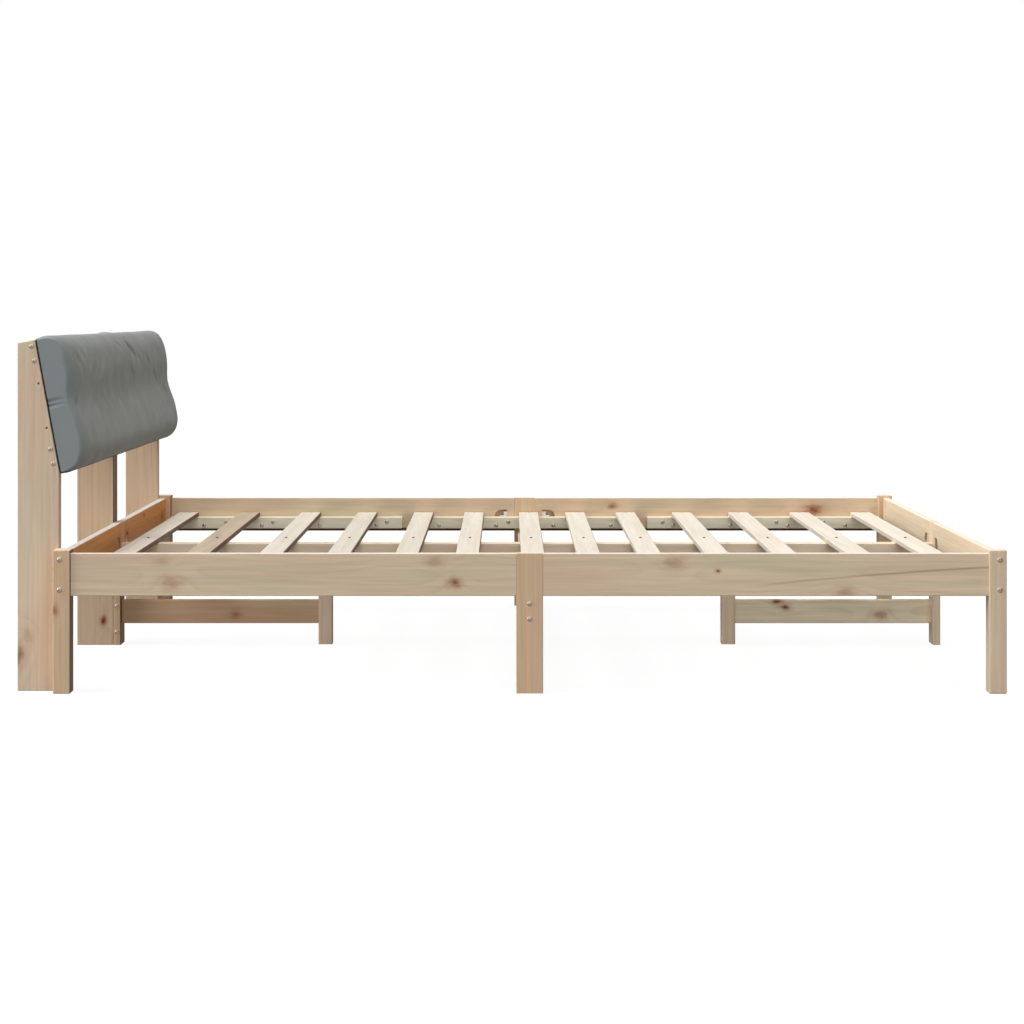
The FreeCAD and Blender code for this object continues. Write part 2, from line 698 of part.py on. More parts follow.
def padded_outline(name, corners, reach, thick):
    """A body padded along -Y from the plane at reach, from corners named in places."""
    body = doc.addObject("PartDesign::Body", name + "_body")
    sketch = body.newObject("Sketcher::SketchObject", name + "_outline")
    sketch.AttachmentSupport = [(origin_plane(body, "XZ_Plane"), "")]
    sketch.MapMode = "FlatFace"
    sketch.setExpression("AttachmentOffset.Base.z", f"-({reach})")
    points = [FreeCAD.Vector(place(x), place(z), 0) for x, z in corners]
    count = len(points)
    for number in range(count):
        sketch.addGeometry(Part.LineSegment(points[number], points[(number + 1) % count]))
    for number in range(count):
        sketch.addConstraint(Sketcher.Constraint("Coincident", number, 2, (number + 1) % count, 1))
    for number, (x, z) in enumerate(corners):
        for kind, alias in (("DistanceX", x), ("DistanceY", z)):
            held = sketch.addConstraint(Sketcher.Constraint(kind, -1, 1, number, 1, place(alias)))
            sketch.setExpression(f"Constraints[{held}]", f"places.{alias}")
    pad = body.newObject("PartDesign::Pad", name + "_pad")
    pad.Profile = sketch
    pad.setExpression("Length", thick)
    doc.recompute()
    return body, pad


# Uprights: straight to the lean, sloping back above it, cut square to the slope at the top.
upright_corners = [("rear_x", "ground"), ("front_x", "ground"), ("front_x", "lean_z"),
                   ("tip_x", "tip_z"), ("rear_x", "rear_z")]
for name, reach in (("outer", "places.bay_y"), ("middle", "sizes.upright_thick")):
    body, pad = padded_outline(f"{name}_upright", upright_corners, reach, "sizes.upright_thick")
    ease(body, pad, "", "sizes.board_round")
    for number, alias in enumerate(("spare_hole_low", "spare_hole_high")):
        hole = body.newObject("PartDesign::SubtractiveCylinder", f"{name}_spare_hole_{number}")
        hole.Placement = FreeCAD.Placement(FreeCAD.Vector(), FreeCAD.Rotation(UP, ACROSS))
        hole.setExpression("Radius", "sizes.spare_hole_wide / 2")
        hole.setExpression("Height", "places.bay_y")
        back = "sizes.board_thick / 2"
        hole.setExpression("Placement.Base.x", f"places.front_x - sizes.{alias} * places.lean_sin"
                           f" - {back} * places.lean_cos")
        hole.setExpression("Placement.Base.z", f"places.lean_z + sizes.{alias} * places.lean_cos"
                           f" - {back} * places.lean_sin")
        doc.recompute()
    upright = keep(drilled(f"upright_{name}_left", body, "back_screws", "frame_screws"),
                   f"upright_{name}_left")
    mirrored(f"upright_{name}_right", upright, ACROSS)

# Backrest boards between the uprights of each bay, flush with their sloping edge.
for board in board_starts:
    corners = [(f"{board}_{edge}_{side}_x", f"{board}_{edge}_{side}_z") for edge, side in
               (("bottom", "front"), ("top", "front"), ("top", "rear"), ("bottom", "rear"))]
    body, pad = padded_outline(f"back_board_{board}", corners,
                               "places.bay_y - sizes.upright_thick",
                               "places.bay_y - 2 * sizes.upright_thick")
    ease(body, pad, "y", "sizes.board_round")
    left = keep(drilled(f"back_board_{board}_left", body, "back_screws"),
                f"back_board_{board}_left")
    mirrored(f"back_board_{board}_right", left, ACROSS)

# Cushion: two swellings with a drawn-in waist between them. Each row is a point of its
# section: the share of its height, and the share of its thickness.
section_shares = {
    "back_low": (0.013, 0.0),
    "back_high": (0.967, 0.0),
    "crest": (0.998, 0.37),
    "shoulder": (0.967, 0.71),
    "brow": (0.908, 0.907),
    "upper_start": (0.824, 0.983),
    "upper_swell": (0.709, 1.0),
    "upper_end": (0.595, 0.915),
    "waist": (0.513, 0.856),
    "lower_start": (0.431, 0.898),
    "lower_swell": (0.294, 1.0),
    "lower_end": (0.15, 0.983),
    "belly": (0.072, 0.805),
    "chin": (0.02, 0.475),
    "underside": (0.0, 0.22),
}
section_arcs = [("back_high", "crest", "shoulder"), ("shoulder", "brow", "upper_start"),
                ("upper_start", "upper_swell", "upper_end"), ("upper_end", "waist", "lower_start"),
                ("lower_start", "lower_swell", "lower_end"), ("lower_end", "belly", "chin"),
                ("chin", "underside", "back_low")]
# Sections along the cushion: shares of its half length, of the section's thickness and of
# the height drawn in at the top and at the bottom.
crown_shares = [(-1, 0.78, 0.03), (-0.985, 0.93, 0.008), (-0.94, 1, 0),
                (0.94, 1, 0), (0.985, 0.93, 0.008), (1, 0.78, 0.03)]
cushion_tall = size("cushion_low") + size("cushion_high")
wires = []
for along, thin, drawn in crown_shares:
    points = {}
    for name, (high, out) in section_shares.items():
        up = cushion_tall * (drawn + high * (1 - 2 * drawn)) - size("cushion_low")
        forward = size("cushion_gap") + out * thin * size("cushion_thick")
        points[name] = lean_point(up, -forward, along * place("bay_y"))
    edges = [Part.LineSegment(points["back_low"], points["back_high"]).toShape()]
    edges += [Part.Arc(*(points[name] for name in arc)).toShape() for arc in section_arcs]
    wires.append(Part.Wire(edges))
cushion = doc.addObject("Part::Feature", "cushion")
cushion.Shape = Part.makeLoft(wires, True, True)
keep(cushion, "cushion")

doc.recompute()

# Nothing is written unless every object was rebuilt and every piece is a sound solid.
for thing in doc.Objects:
    if "Invalid" in thing.State or "Error" in thing.State:
        raise RuntimeError(f"{thing.Name} was not rebuilt: {thing.State}")
for piece in pieces:
    if piece.Shape.isNull() or not piece.Shape.isValid() or not piece.Shape.Solids:
        raise RuntimeError(f"{piece.Label} is not a sound solid")

os.makedirs("parts", exist_ok=True)
for piece in pieces:
    piece.Shape.exportStep(f"parts/{piece.Label}.step")
print(len(pieces), "pieces written")
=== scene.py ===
# %% [markdown]
# # A pine bed frame with a cushioned headboard
# The bed is bare softwood held by bolts and screws, with one long grey cushion at the head.
# The construction comes ready as a frame of solid pieces. This file gives every piece its
# finish, sews the cushion, and sets up the light and the camera.

import math
import random

import bmesh
import bpy
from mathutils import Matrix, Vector, noise


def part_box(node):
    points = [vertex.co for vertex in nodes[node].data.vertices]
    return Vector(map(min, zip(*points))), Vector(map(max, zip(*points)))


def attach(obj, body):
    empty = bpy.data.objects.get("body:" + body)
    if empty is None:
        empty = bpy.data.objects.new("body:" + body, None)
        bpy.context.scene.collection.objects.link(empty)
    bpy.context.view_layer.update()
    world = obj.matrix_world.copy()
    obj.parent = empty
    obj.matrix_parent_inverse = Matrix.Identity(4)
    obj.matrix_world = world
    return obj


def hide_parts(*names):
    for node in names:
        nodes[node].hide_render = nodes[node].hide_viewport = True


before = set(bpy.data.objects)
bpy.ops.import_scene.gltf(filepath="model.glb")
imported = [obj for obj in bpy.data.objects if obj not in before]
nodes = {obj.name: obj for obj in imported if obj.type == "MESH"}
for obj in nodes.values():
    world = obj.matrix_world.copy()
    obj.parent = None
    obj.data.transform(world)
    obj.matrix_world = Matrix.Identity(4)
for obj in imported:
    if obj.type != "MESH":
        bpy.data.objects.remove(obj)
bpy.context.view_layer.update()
print("pieces in the frame:", len(nodes))

# %% [markdown]
# ## The camera
# The photograph was taken level, from in front of the long side, so upright edges stay
# upright. A level camera with a shifted frame keeps that, while tilting it down would make the
# legs lean. The distance sets how fast the slats run together towards the far side.

# %% Camera
# The picture's width, the focal length and the vanishing point, in pixels.
PHOTO_WIDTH = 1024
FOCAL_PIXELS = 2200
VANISHING_X = 507.63
VANISHING_Y = 313.04
# The sensor in millimetres, then the camera's place and how far it sees, in metres.
SENSOR = 36
CAMERA_PLACE = (-0.00715, -5.4633, 0.82007)
SIGHT = 60
QUARTER_TURN = math.radians(90)

lens = bpy.data.cameras.new("camera")
lens.sensor_width = SENSOR
lens.lens = SENSOR * FOCAL_PIXELS / PHOTO_WIDTH
lens.shift_x = (PHOTO_WIDTH / 2 - VANISHING_X) / PHOTO_WIDTH
lens.shift_y = (VANISHING_Y - PHOTO_WIDTH / 2) / PHOTO_WIDTH
lens.clip_end = SIGHT
camera = bpy.data.objects.new("camera", lens)
camera.location = CAMERA_PLACE
camera.rotation_euler = (QUARTER_TURN, 0, 0)
bpy.context.scene.collection.objects.link(camera)
bpy.context.scene.camera = camera
print("lens in mm:", round(lens.lens, 2))

# %% [markdown]
# ## Writing shaders as sums
# A wood grain is a long sum of noises and distances. Wired by hand it is a wall of nodes, so a
# small class stands for one socket and adds a Math node whenever two of them are combined.
# Another class stands for a whole tree of nodes and adds any node to it.

# %% A socket that can be added and multiplied
class Value:
    """One output socket. Sums and products of these add Math nodes."""

    def __init__(self, graph, socket):
        self.graph = graph
        self.socket = socket

    def math(self, operation, *others):
        return self.graph.math(operation, self, *others)

    def __add__(self, other):
        return self.math("ADD", other)

    def __sub__(self, other):
        return self.math("SUBTRACT", other)

    def __rsub__(self, other):
        return self.graph.math("SUBTRACT", other, self)

    def __mul__(self, other):
        return self.math("MULTIPLY", other)

    def __truediv__(self, other):
        return self.math("DIVIDE", other)

    def __pow__(self, other):
        return self.math("POWER", other)

    __radd__ = __add__
    __rmul__ = __mul__


# %% A tree of nodes
class Graph:
    """A tree of nodes, with one method that adds any of them."""

    def __init__(self, tree):
        self.tree = tree

    def feed(self, socket, value):
        """Link a value to a socket, or set it there where it is a plain number or colour."""
        if isinstance(value, Value):
            self.tree.links.new(value.socket, socket)
        else:
            socket.default_value = value

    def node(self, kind, settings, sockets, output=0):
        made = self.tree.nodes.new(kind)
        for name, value in settings.items():
            setattr(made, name, value)
        for name, value in sockets.items():
            self.feed(made.inputs[name], value)
        return Value(self, made.outputs[output])

    def math(self, operation, *values):
        return self.node("ShaderNodeMath", {"operation": operation}, dict(enumerate(values)))

    def object_place(self):
        return self.node("ShaderNodeTexCoord", {}, {}, "Object")

    def object_axes(self):
        """The three coordinates of a place on the object."""
        split = self.node("ShaderNodeSeparateXYZ", {}, {"Vector": self.object_place()})
        return [Value(self, output) for output in split.socket.node.outputs]

    def vector(self, x, y, z):
        return self.node("ShaderNodeCombineXYZ", {}, {"X": x, "Y": y, "Z": z})

    def noise(self, place, scale, detail=2.0, roughness=0.5):
        return self.node("ShaderNodeTexNoise", {}, {
            "Vector": place, "Scale": scale, "Detail": detail, "Roughness": roughness})

    def ramp(self, value, low, high, start=0.0, end=1.0):
        """A smooth step from start to end while value goes from low to high."""
        return self.node("ShaderNodeMapRange", {"interpolation_type": "SMOOTHSTEP"}, {
            "Value": value, "From Min": low, "From Max": high, "To Min": start, "To Max": end})

    def blend(self, share, first, second):
        """The first colour, going to the second as share goes to one."""
        return self.node("ShaderNodeMix", {"data_type": "RGBA"}, {
            "Factor": share, 6: first, 7: second}, 2)

    def bump(self, height, distance, strength):
        return self.node("ShaderNodeBump", {}, {
            "Height": height, "Distance": distance, "Strength": strength})

    def seen(self):
        """One where the camera, a reflection or a view through glass meets the surface."""
        camera_ray, glossy_ray, through_ray = (
            self.node("ShaderNodeLightPath", {}, {}, f"Is {kind} Ray")
            for kind in ("Camera", "Glossy", "Transmission"))
        return camera_ray.math("MAXIMUM", glossy_ray).math("MAXIMUM", through_ray)


class Finish(Graph):
    """The nodes of a new material, which end in its shader."""

    def __init__(self, name):
        self.material = bpy.data.materials.new(name)
        self.material.use_nodes = True
        super().__init__(self.material.node_tree)
        self.shader = self.tree.nodes["Principled BSDF"]

    def set(self, **values):
        """Give the shader's sockets their values, with _ for each space in a name."""
        for name, value in values.items():
            self.feed(self.shader.inputs[name.replace("_", " ")], value)


def linear(red, green, blue):
    """A colour as seen on screen, 0 to 255, as the shader's own light values."""
    shown = [channel / 255 for channel in (red, green, blue)]
    return (*[c / 12.92 if c <= 0.04045 else ((c + 0.055) / 1.055) ** 2.4 for c in shown], 1)


# %% [markdown]
# ## Pine
# A board is cut from a log, so its grain is a set of thin rings around an axis that lies some
# way under the board's face. Working out the distance from that axis gives long arches on the
# faces, straight lines on the edges and arcs on the sawn ends, all from one sum. The axis
# wanders a little along the board. Each piece gets its own axis, so no two boards match.

# %% Places in a board
X, Y, Z = 0, 1, 2
NOISE_SPAN = 40
KNOT_STRETCH = 0.6
# Each noise's squeeze along the grain and across it, its scale, detail and roughness, and
# whether a board's own shift moves it along and through the board.
NOISES = {
    "wander": (1.1, 5, 2.2, 1.5, 0.5, 1, 0),
    "strength": (1.1, 5, 6, 1.0, 0.5, 1, 0),
    "swell": (2.6, 9, 1.0, 1.0, 0.5, 0, 1),
    "band": (1.7, 11, 1.3, 1.0, 0.5, 1, 0),
    "fibre": (0.03, 1, 260, 3.0, 0.6, 0, 0),
    "streak": (0.02, 1, 70, 1.5, 0.5, 0, 1),
    "ragged": (45, 90, 1.0, 2.0, 0.5, 0, 0),
}


class Board:
    """The places in one board along, across and through its grain, and its noises."""

    def __init__(self, name, axes):
        self.graph = Finish(name)
        self.chance = random.Random(name)
        self.shift = self.chance.uniform(0, NOISE_SPAN)
        self.low, self.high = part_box(name)
        self.middle = [(low + high) / 2 for low, high in zip(self.low, self.high)]
        self.axes = axes
        self.split = self.graph.object_axes()
        self.along, self.across, self.through = (self.split[axis] for axis in axes)
        self.wander = self.noise("wander") - 0.5
        self.fibre = self.noise("fibre")
        self.streak = self.noise("streak")

    def noise(self, kind):
        """A noise whose place is squeezed along the grain, so that it comes out long."""
        along, across, scale, detail, roughness, shift_along, shift_through = NOISES[kind]
        place = self.graph.vector(self.along * along + self.shift * shift_along,
                                  self.across * across,
                                  self.through * across + self.shift * shift_through)
        return self.graph.noise(place, scale, detail, roughness)

    def from_knot(self, place, side):
        """The square of the distance from a knot, which is longer along the grain."""
        return ((self.along - place) * KNOT_STRETCH) ** 2 + (self.across - side) ** 2


# %% [markdown]
# The distance from the log's axis, divided by the rings' pitch, counts the rings, and what is
# left over after the last whole ring says where in a year's growth a place lies. Colour rises
# slowly through a ring and drops at its end, as it does where winter stops the growth.

# %% Growth rings
# The rings' pitch, and how far their axis lies to the side, as a share of the breadth, and
# under the board's middle, in metres.
RING_PITCH = 0.0105
ASIDE_SHARE = 0.3
BELOW_LEAST, BELOW_MOST = 0.02, 0.06
# How much the axis slants, wanders and swells, and how a knot pushes the rings aside.
SWEEP = 0.035
WANDER = 0.05
SWELL = 0.016
KNOT_REACH = 2.6
KNOT_PUSH = 1.3
# How steeply late wood ends, and between which values of a noise its strength changes.
LATE_STEEP = 7
UNEVEN = dict(low=0.3, high=0.7, start=0.35)


def growth_rings(board, knots):
    """How far a place is in dark late wood, from 0 to 1. The rings flow round the knots."""
    graph = board.graph
    chance = board.chance
    along_axis, across_axis, through_axis = board.axes
    breadth = board.high[across_axis] - board.low[across_axis]
    aside = breadth * chance.uniform(-ASIDE_SHARE, ASIDE_SHARE) + board.middle[across_axis]
    depth = chance.uniform(BELOW_LEAST, BELOW_MOST) * chance.choice((-1, 1))
    slant = (board.along - board.middle[along_axis]) * chance.uniform(-SWEEP, SWEEP)
    swell = board.noise("swell") - 0.5
    flow_across = board.across - aside + board.wander * WANDER + slant
    flow_through = board.through - (board.middle[through_axis] - depth) + swell * SWELL
    bend = 0
    for place, side, radius, _ in knots:
        share = board.from_knot(place, side) * (-1 / (KNOT_REACH * radius) ** 2)
        bend = bend + share.math("EXPONENT") * (radius * KNOT_PUSH)
    rings = ((flow_across ** 2 + flow_through ** 2) ** 0.5 + bend) / RING_PITCH
    turn = rings.math("FRACT")
    late_wood = (turn ** 3).math("MINIMUM", (1 - turn) * LATE_STEEP)
    return late_wood * graph.ramp(board.noise("strength"), **UNEVEN)


# %% [markdown]
# Knots and dark veins are stains on top of the rings. A knot has a red halo, a redder heart
# and, where it is a dark one, a nearly black core, and fine noise makes its rim ragged.

# %% Knots and veins
KNOT_RED = linear(168, 104, 66)
KNOT_DARK = linear(92, 52, 30)
# The layers of a knot: the radii at which it starts and is full, its strength, the power of
# the knot's darkness that it follows, and its stain.
KNOT_LAYERS = [
    (2.2, 0.3, 0.55, 1, KNOT_RED),
    (1.0, 0.6, 0.7, 2, KNOT_RED),
    (0.55, 0.1, 1, 3, KNOT_DARK),
]
RAGGED = 1.5
STREAKED = 0.6
VEIN_WANDER = 0.02
VEIN_START = (-0.05, 0.1)
VEIN_STRENGTH = 0.5


def with_knots(board, colour, knots):
    """A colour with the stains of the knots."""
    graph = board.graph
    ragged = board.noise("ragged") - 0.5
    for place, side, radius, darkness in knots:
        reach = board.from_knot(place, side) ** 0.5 / radius
        reach = reach + ragged * RAGGED + (board.streak - 0.5) * STREAKED
        for starts, full, strength, power, stain in KNOT_LAYERS:
            share = graph.ramp(reach, starts, full) * (strength * darkness ** power)
            colour = graph.blend(share, colour, stain)
    return colour


def with_veins(board, colour, veins):
    """A colour with dark lines that start somewhere along the board and curve."""
    graph = board.graph
    for start, rise, slope, curve, width in veins:
        past = board.along - start
        line = rise + past * slope + past ** 2 * curve
        apart = (board.across - line + board.wander * VEIN_WANDER).math("ABSOLUTE") / width
        shown = graph.ramp(past, *VEIN_START) * graph.ramp(apart, 1.0, 0.0) * VEIN_STRENGTH
        colour = graph.blend(shown, colour, KNOT_RED)
    return colour


# %% [markdown]
# Soft studio light leaves out some of the shade between close boards, so faces that look
# towards the foot, and the strip under the far cleats, get a painted brown shade. Top edges
# get a painted highlight, a paler tone where they would catch the light. Each tone is confined
# to its face by the piece's box.

# %% Painted shade and highlight of single faces
# Painted brown shade, for faces and strips that shade would darken.
SHADE = linear(104, 66, 36)
# Painted highlight, for top edges that would catch the light.
PAINTED_HIGHLIGHT = linear(255, 248, 240)
# Depths under a face in metres between which its own tone fades in.
FOOT_SKIN = (0.002, 0.0008)
INNER_SKIN = (0.003, 0.001)
TOP_SKIN = (0.0012, 0.0004)
# How softly a tone ends at its upper limit, and how strong the strip is.
SHADE_FADE = 0.01
STRIP_FADE = 0.001
STRIP_STRENGTH = 0.9


def foot_face(board):
    """One on the face that looks towards the foot of the bed."""
    deep, shallow = FOOT_SKIN
    return board.graph.ramp(board.split[X], board.high.x - deep, board.high.x - shallow)


def with_painted_light(board, colour, shade, dim_strip, top_highlight):
    """A colour with the painted shade and the painted highlight that belong to single faces of the
    board.
    """
    graph = board.graph
    height = board.split[Z]
    # Painted brown shade on the face towards the foot, up to a height.
    if shade:
        amount, top = shade
        lower = graph.ramp(height, top + SHADE_FADE, top - SHADE_FADE)
        colour = graph.blend(foot_face(board) * lower * amount, colour, SHADE)
    # Painted shade on the strip under the far cleats, on the face towards the middle of the bed.
    if dim_strip:
        deep, shallow = INNER_SKIN
        inner_place = min(abs(board.low.y), abs(board.high.y))
        facing_in = graph.ramp(board.split[Y].math("ABSOLUTE"), inner_place + deep,
                               inner_place + shallow)
        lower = graph.ramp(height, dim_strip + STRIP_FADE, dim_strip)
        colour = graph.blend(facing_in * lower * STRIP_STRENGTH, colour, SHADE)
    # A painted highlight on the top face.
    if top_highlight:
        deep, shallow = TOP_SKIN
        top_face = graph.ramp(height, board.high.z - deep, board.high.z - shallow)
        colour = graph.blend(top_face * top_highlight, colour, PAINTED_HIGHLIGHT)
    return colour


# %% [markdown]
# With its rings, knots and tones ready, a board's finish is one chain of blends. Broad bands
# drift towards pink and green, as softwood does, and fine fibres dull the colour and give the
# surface its slight relief. Late wood is denser, so it is a little smoother.

# %% The finish of one board
PALE = linear(234, 213, 184)
LATE = linear(206, 171, 130)
PINKISH = linear(228, 194, 170)
GREENISH = linear(214, 205, 172)
# Between which values of their noises the bands, the fibres and the streaks change a tone,
# and from how dull to how bright the last two make it.
PINK_BAND = (0.5, 0.75)
GREEN_BAND = (0.5, 0.28)
FIBRE_DULL = dict(low=0.3, high=0.7, start=0.93, end=1.02)
STREAK_DULL = dict(low=0.35, high=0.65, start=0.95, end=1.02)
ROUGHNESS = 0.62
GRAIN_GLOSS = 0.12
RELIEF = 0.0004
RELIEF_STRENGTH = 0.35


def pine(name, axes, tone=PALE, late=LATE, contrast=0.42, knots=(), veins=(), tint=0.5,
         inner=None, shade=None, dim_strip=None, top_highlight=0):
    """Pine whose grain runs along axes[0], with its broad side along axes[1].

    tone and late are the colours of the early and the late wood, contrast is how much the
    late wood shows, and tint how much the broad bands do. knots are (place along, place
    across, radius, darkness) in metres, and veins are (start along, height there, slope,
    curve, half width). inner holds the two colours of a painted warm shade on the face
    towards the foot. shade is how strong a painted brown shade on that face is, and the
    height up to which it goes. dim_strip is the height up to which the face towards the
    middle of the bed gets painted shade, and top_highlight is how strong the painted
    highlight on the top face is.
    """
    board = Board(name, axes)
    graph = board.graph
    rings = growth_rings(board, knots)
    # Painted warm shade on the face towards the foot.
    if inner:
        facing_foot = foot_face(board)
        tone = graph.blend(facing_foot, tone, inner[0])
        late = graph.blend(facing_foot, late, inner[1])
    colour = graph.blend(rings * contrast, tone, late)
    colour = with_veins(board, colour, veins)
    band = board.noise("band")
    colour = graph.blend(graph.ramp(band, *PINK_BAND) * tint, colour, PINKISH)
    colour = graph.blend(graph.ramp(band, *GREEN_BAND) * tint, colour, GREENISH)
    colour = with_painted_light(board, colour, shade, dim_strip, top_highlight)
    dull = graph.ramp(board.fibre, **FIBRE_DULL) * graph.ramp(board.streak, **STREAK_DULL)
    colour = graph.node("ShaderNodeVectorMath", {"operation": "SCALE"}, {
        0: colour, "Scale": dull})
    colour = with_knots(board, colour, knots)
    roughness = ROUGHNESS - rings * GRAIN_GLOSS + (board.fibre - 0.5) * GRAIN_GLOSS
    relief = board.fibre * 0.5 + rings * 0.5
    graph.set(Base_Color=colour, Roughness=roughness, Specular_IOR_Level=0.1,
              Normal=graph.bump(relief, RELIEF, RELIEF_STRENGTH))
    return graph.material


def dress(name, material):
    """Give a frame piece its one material."""
    slots = nodes[name].data.materials
    slots.clear()
    slots.append(material)


# %% [markdown]
# ## Which way each board's grain runs
# A maker cuts every piece with the grain along its length. The table gives, for each kind of
# piece, the grain's axis, then the axis of its broad side and of its thickness.

# %% Grain and knots
GRAINS = {
    "corner_leg": (Z, X, Y), "side_rail": (X, Z, Y), "foot_board": (Y, Z, X),
    "head_board": (Y, Z, X), "side_centre_leg": (Z, X, Y), "foot_centre_leg": (Z, Y, X),
    "head_centre_leg": (Z, X, Y), "cross_bearer": (Y, Z, X), "middle_beam": (X, Z, Y),
    "trestle_post": (Z, X, Y), "trestle_stretcher": (X, Z, Y), "cleat": (X, Z, Y),
    "slat": (Y, X, Z), "upright": (Z, X, Y), "back_board": (Y, Z, X),
}
# Knots that show, in metres: place along the grain, place across it, radius, darkness.
KNOTS = {
    "side_rail_head_right": [(-0.733, 0.238, 0.012, 0.5), (-0.754, 0.287, 0.010, 0.35),
                             (-0.121, 0.238, 0.009, 0.8), (-0.164, 0.284, 0.010, 0.45)],
    "side_rail_foot_right": [(0.351, 0.281, 0.013, 0.5), (0.446, 0.264, 0.0032, 1.15),
                             (0.720, 0.216, 0.012, 0.5)],
    "side_rail_foot_left": [(0.288, 0.279, 0.008, 0.8), (0.849, 0.268, 0.017, 0.85)],
    "upright_outer_right": [(0.078, -1.068, 0.012, 0.7), (0.117, -1.049, 0.010, 0.35)],
    "corner_leg_head_right": [(0.179, -0.9815, 0.007, 0.7)],
    "upright_middle_right": [(0.060, -1.006, 0.008, 0.95)],
    "trestle_stretcher_foot": [(0.658, 0.104, 0.007, 0.9), (0.681, 0.091, 0.008, 0.9),
                               (0.916, 0.071, 0.012, 0.6)],
    "trestle_stretcher_head": [(-0.683, 0.072, 0.009, 0.6)],
    # The head_board_left knot at 0.620 is painted shade at the corner with the rail.
    "head_board_left": [(0.320, 0.289, 0.007, 0.8), (0.620, 0.260, 0.016, 0.6),
                        (0.060, 0.262, 0.014, 0.9)],
    "head_board_right": [(-0.052, 0.258, 0.012, 0.9)],
    "slat_02": [(-0.35, -0.72, 0.008, 0.4)],
}
print("knots placed:", sum(len(knots) for knots in KNOTS.values()))

# %% [markdown]
# ## A tone for each board
# Boards in one bed come from many trees. The slats are the palest, the legs and posts are
# warmer and one slat is much darker. The head boards and the head centre leg get a painted
# warm shade, orange and red, on the inside.

# %% Tones
WARM = linear(229, 197, 161)
ROSY = linear(244, 213, 182)
# Painted warm shade for the inner faces that look towards the foot.
WARM_SHADE_TONES = (linear(236, 162, 93), linear(184, 112, 58))
# A height above all faces, for a shade that has no upper limit.
ALL_HEIGHTS = 1
CLEAT_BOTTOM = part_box("cleat_middle_left")[0].z
# In the table, shade gives painted brown shade on the faces towards the foot, and dim_strip
# painted shade under the far cleats.
TONES = {
    "corner_leg": dict(tone=WARM),
    "corner_leg_head": dict(tone=WARM, shade=(0.85, ALL_HEIGHTS)),
    "corner_leg_foot_right": dict(tone=PALE),
    "side_centre_leg": dict(tone=WARM),
    "foot_centre_leg": dict(tone=linear(241, 220, 190), late=linear(222, 188, 146), tint=0.1,
                            contrast=0.2),
    "head_centre_leg": dict(tone=WARM, tint=0.2, inner=WARM_SHADE_TONES, shade=(0.85, 0.2)),
    "upright_middle": dict(tone=ROSY, tint=0.15, shade=(0.85, ALL_HEIGHTS)),
    "upright_outer_left": dict(tone=ROSY, tint=0.15),
    "trestle_post": dict(tone=linear(252, 224, 194), shade=(0.4, ALL_HEIGHTS)),
    "trestle_stretcher_head": dict(tone=linear(218, 178, 143)),
    "trestle_stretcher_foot": dict(tone=linear(255, 238, 206), tint=0.05, contrast=0.36),
    "slat": dict(tone=linear(238, 229, 214), late=linear(218, 194, 160), contrast=0.3,
                 tint=0.25, shade=(0.88, ALL_HEIGHTS)),
    "slat_02": dict(tone=linear(186, 169, 147), late=linear(154, 131, 104), contrast=0.4,
                    shade=(0.88, ALL_HEIGHTS)),
    "cleat": dict(tone=linear(255, 246, 220), tint=0.02, contrast=0.3),
    "middle_beam": dict(tone=linear(250, 228, 202)),
    "head_board": dict(tone=linear(246, 226, 200), tint=0.05, contrast=0.55, inner=WARM_SHADE_TONES),
    "side_rail_foot_right": dict(veins=[(0.543, 0.234, 0.114, -0.08, 0.004)]),
    "side_rail_foot_left": dict(tone=linear(226, 200, 170), dim_strip=CLEAT_BOTTOM),
    "side_rail_head_left": dict(tone=linear(224, 200, 172), dim_strip=CLEAT_BOTTOM),
    "foot_board": dict(tone=linear(241, 220, 190), late=linear(222, 188, 146), tint=0.2),
}
# How strong the painted highlight on the top faces is.
TOP_HIGHLIGHT_AMOUNTS = {
    "side_rail": 0.55, "side_rail_foot_left": 0.85, "side_rail_head_left": 0.85,
    "head_board": 0.85, "foot_board": 0.5, "side_centre_leg": 0.55, "head_centre_leg": 0.85,
    "corner_leg": 0.5,
}


def kind_of(name, table):
    """The longest entry of a table that a piece's name starts with."""
    fits = [kind for kind in table if name.startswith(kind)]
    return max(fits, key=len) if fits else None


for name in sorted(nodes):
    kind = kind_of(name, GRAINS)
    if kind:
        tone = TONES.get(kind_of(name, TONES), {})
        top_highlight = TOP_HIGHLIGHT_AMOUNTS.get(kind_of(name, TOP_HIGHLIGHT_AMOUNTS), 0)
        dress(name, pine(name, GRAINS[kind], knots=KNOTS.get(name, ()), top_highlight=top_highlight,
                         **tone))
print("boards with grain:", sum(1 for name in nodes if kind_of(name, GRAINS)))

# %% [markdown]
# ## Zinc-plated steel
# The plates and nuts in the pockets are bright. The screws and bolts are a duller zinc, with a
# faint mottle where the plating varies. The small round heads in the slats are nearly black,
# so they read as dark dots. One function makes all three, because only shade and gloss differ.

# %% Steel
MOTTLE_SCALE = 700
MOTTLE_DARK = 0.8
MOTTLE_ROUGH = 0.15
STEEL_TINT = (0.4, 0.38, 0.36, 1)


def steel(name, shade, roughness):
    """Plated steel with a slight mottle."""
    graph = Finish(name)
    mottle = graph.noise(graph.object_place(), MOTTLE_SCALE)
    darker = [channel * MOTTLE_DARK for channel in shade[:3]] + [1]
    graph.set(Base_Color=graph.blend(mottle, darker, shade), Metallic=1,
              Roughness=roughness + (mottle - 0.5) * MOTTLE_ROUGH, Specular_Tint=STEEL_TINT)
    return graph.material


